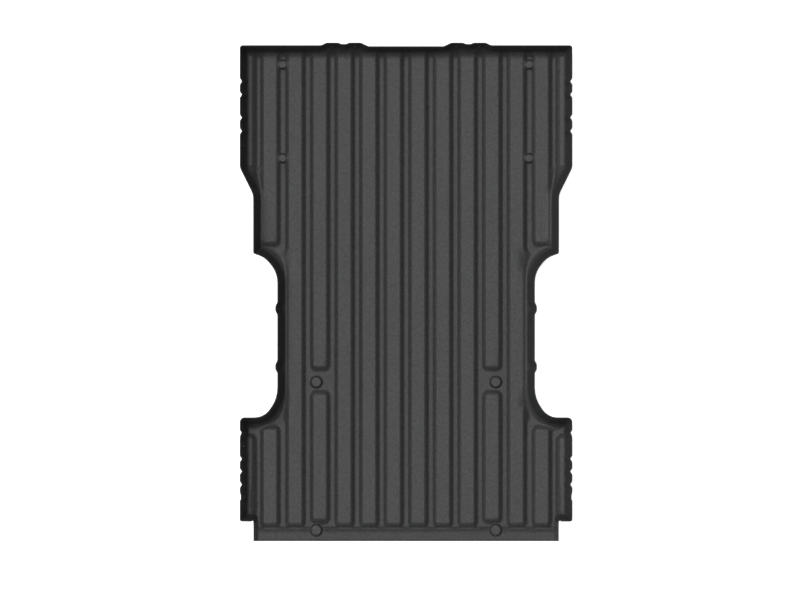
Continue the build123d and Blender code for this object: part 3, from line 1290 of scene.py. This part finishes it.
# ------------------------------------------------------------------ retainers
@dataclass
class Retainers:
    """The push-in retainers: their CAD pieces with moulded finishes."""

    body_finish: MouldedPlastic
    pin_finish: MouldedPlastic

    def dress(self) -> list[bpy.types.Object]:
        """Gives every sleeve and pin its finish.

        Returns:
            The dressed CAD pieces.
        """
        dressed = []
        finishes = {
            "retainer_body_": ("retainer_nylon", self.body_finish.material()),
            "retainer_pin_": ("pin_acetal", self.pin_finish.material()),
        }
        for name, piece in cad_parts.items():
            for prefix, (slot, material) in finishes.items():
                if name.startswith(prefix):
                    piece.data.materials.clear()
                    piece.data.materials.append(material)
                    dressed.append(piece)
        return dressed


# ------------------------------------------------------------------ studio
@dataclass
class Studio:
    """Floor, soft light and a camera that looks straight down."""

    aim: tuple[float, float] = (-0.030, -0.039)
    seen_width: float = 3.952
    camera_height: float = 60.0
    sensor: float = 36.0
    key_strength: float = 3.2
    key_spread: float = math.radians(44.0)
    key_tilt: tuple[float, float] = (math.radians(11.0), math.radians(-9.0))
    side_strength: float = 0.30
    side_spread: float = math.radians(16.0)
    side_tilt: tuple[float, float] = (math.radians(80.0), 0.0)
    sky: float = 0.105
    floor_half: float = 40.0
    floor_drop: float = 0.0005

    def build(self) -> None:
        """Makes the floor, the lights, the world and the camera."""
        self._floor()
        self._sun("overhead_light", self.key_strength, self.key_spread, self.key_tilt)
        self._sun("left_light", self.side_strength, self.side_spread, self.side_tilt)
        self._world()
        self._camera()

    def _floor(self) -> None:
        """Wide pale floor under the liner."""
        half = self.floor_half
        mesh = bpy.data.meshes.new("studio_floor")
        mesh.from_pydata(
            [(-half, -half, 0.0), (half, -half, 0.0), (half, half, 0.0), (-half, half, 0.0)],
            [],
            [(0, 1, 2, 3)],
        )
        mesh.materials.append(StudioFloor().material())
        floor = placed("studio_floor", mesh)
        floor.location.z = -self.floor_drop

    @staticmethod
    def _sun(name: str, strength: float, spread: float, tilt: tuple[float, float]) -> None:
        """Soft distant light, leaning to the left and to the front by the two tilts."""
        data = bpy.data.lights.new(name, "SUN")
        data.energy = strength
        data.angle = spread
        lamp = placed(name, data)
        towards = Vector((-math.tan(tilt[0]), -math.tan(tilt[1]), 1.0))
        lamp.rotation_euler = towards.to_track_quat("Z", "Y").to_euler()

    def _world(self) -> None:
        """Pale surroundings."""
        world = bpy.data.worlds.new("pale_studio")
        world.use_nodes = True
        background = world.node_tree.nodes["Background"]
        background.inputs["Color"].default_value = (1.0, 1.0, 1.0, 1.0)
        background.inputs["Strength"].default_value = self.sky
        bpy.context.scene.world = world

    def _camera(self) -> None:
        """Camera straight above, framed on the liner."""
        data = bpy.data.cameras.new("overhead_camera")
        data.sensor_width = self.sensor
        data.lens = self.sensor * self.camera_height / self.seen_width
        camera = placed("overhead_camera", data)
        camera.location = (*self.aim, self.camera_height)
        bpy.context.scene.camera = camera
        bpy.context.scene.view_settings.view_transform = "Standard"


def main() -> None:
    """Builds the liner's look piece by piece, then the studio."""
    logging.basicConfig(level=logging.INFO, format="%(name)s: %(message)s")
    Studio().build()
    tray = LinerTray(*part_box("liner_tray"), PebbledSheet()).build()
    tray.data.calc_loop_triangles()
    LOG.info("%s: %d triangles", tray.name, len(tray.data.loop_triangles))
    sleeves = MouldedPlastic("retainer_nylon_black", (0.022, 0.022, 0.024), 0.42)
    pins = MouldedPlastic("pin_acetal_black", (0.030, 0.030, 0.032), 0.34)
    for piece in Retainers(sleeves, pins).dress():
        LOG.info("%s: dressed", piece.name)


if __name__ == "__main__":
    main()
